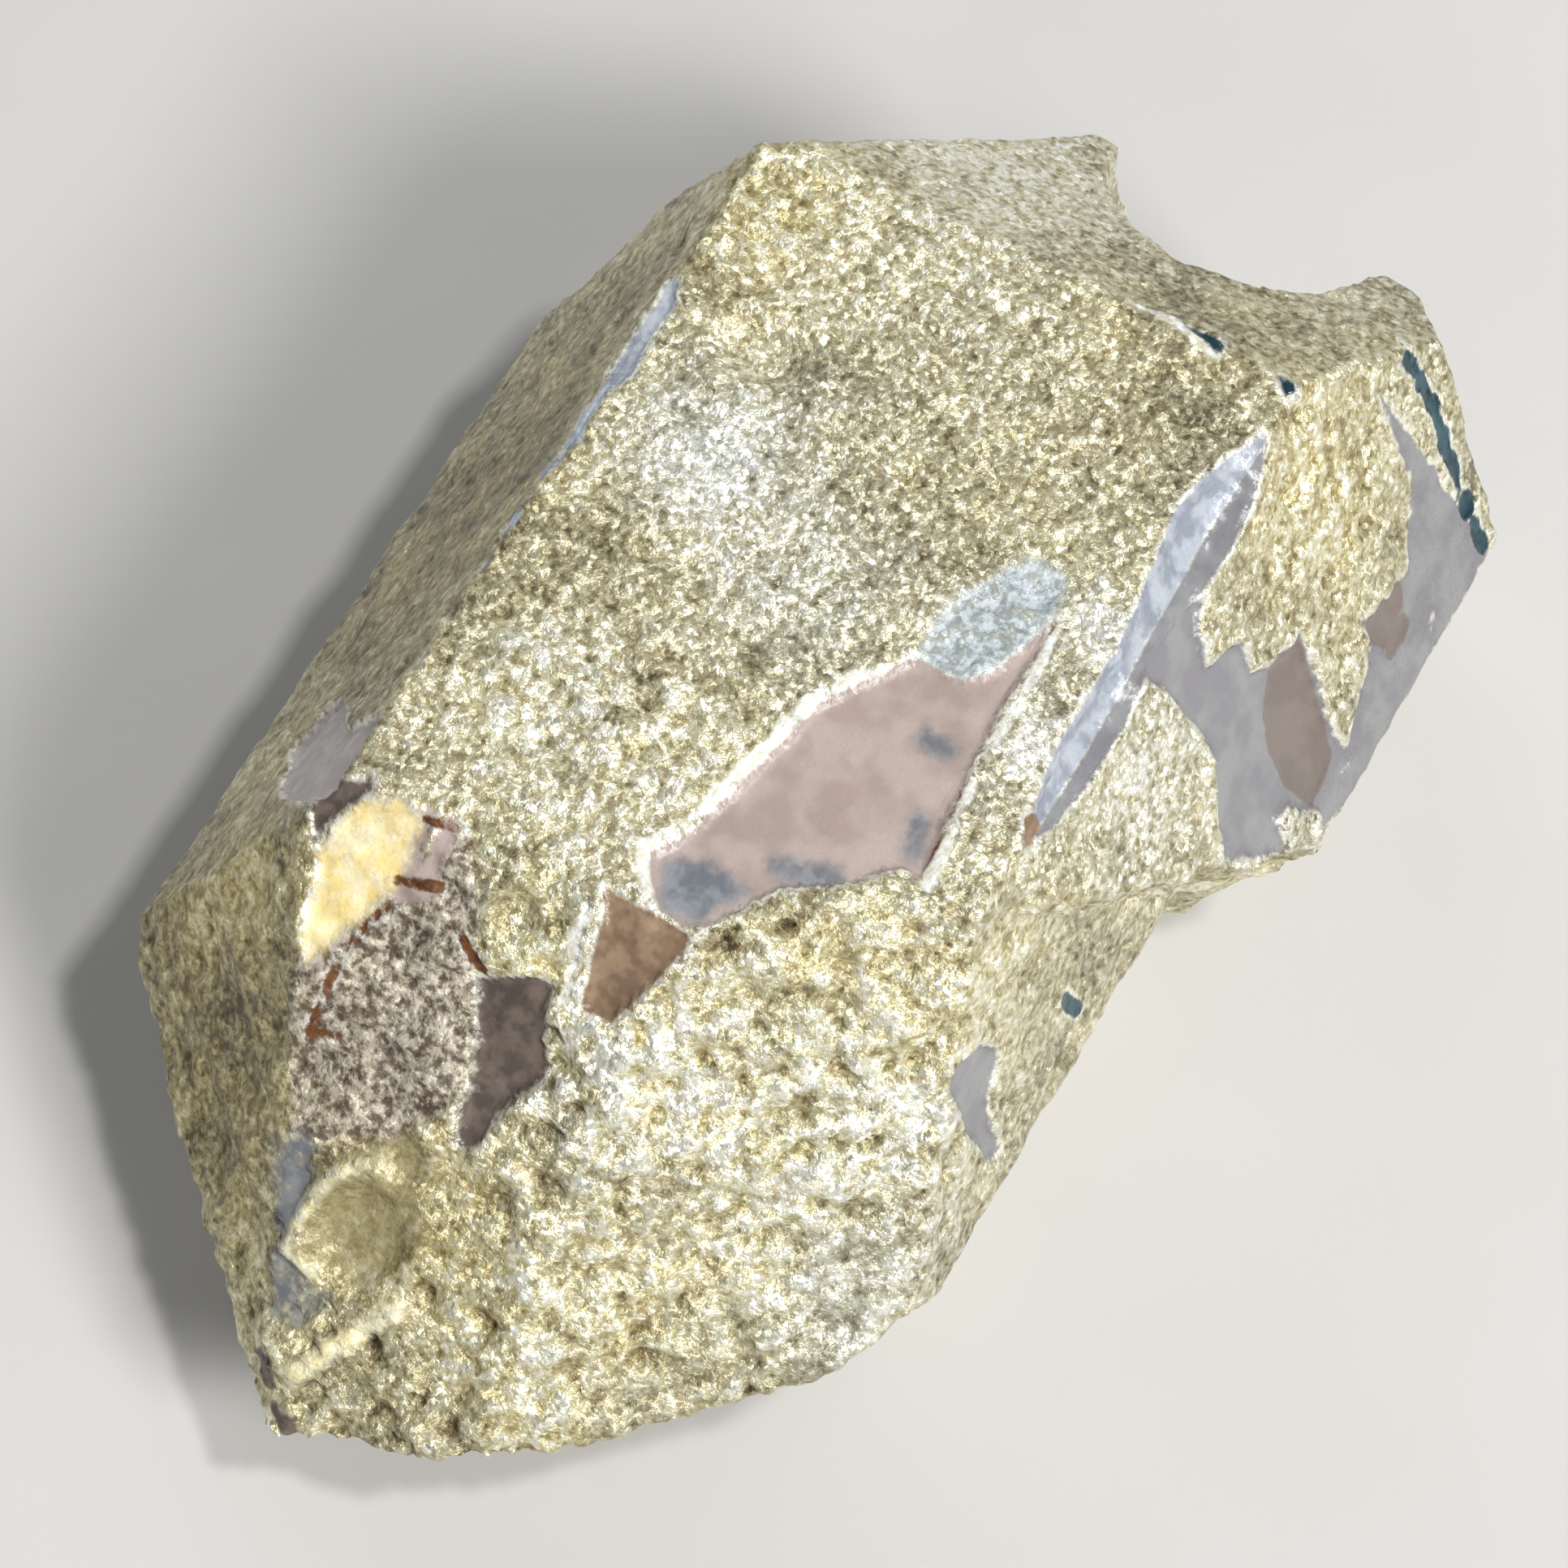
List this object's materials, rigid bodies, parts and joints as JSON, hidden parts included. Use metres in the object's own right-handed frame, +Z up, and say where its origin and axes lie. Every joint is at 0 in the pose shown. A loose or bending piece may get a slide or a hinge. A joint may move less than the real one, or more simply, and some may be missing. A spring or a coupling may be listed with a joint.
{
  "type": "smoky quartz point",
  "caption": "Stubby smoky quartz crystal with a slanting tip, lying on a prism face, almost wholly coated in pale golden glittering crust with smooth mauve-grey bare patches.",
  "frame": {"origin": "centre of the underside of the crystal's box, on the surface that it rests on", "axes": "+X along the crystal's long axis towards the broken end, -X towards the tip, +Z up through the broad top face"},
  "size_m": [0.043, 0.0278, 0.0196],
  "materials": {
    "crusted_quartz": "pale golden glittering crust over smooth mauve-grey quartz"
  },
  "bodies": {
    "root": {"quartz_point": "crusted_quartz"}
  },
  "joints": []
}
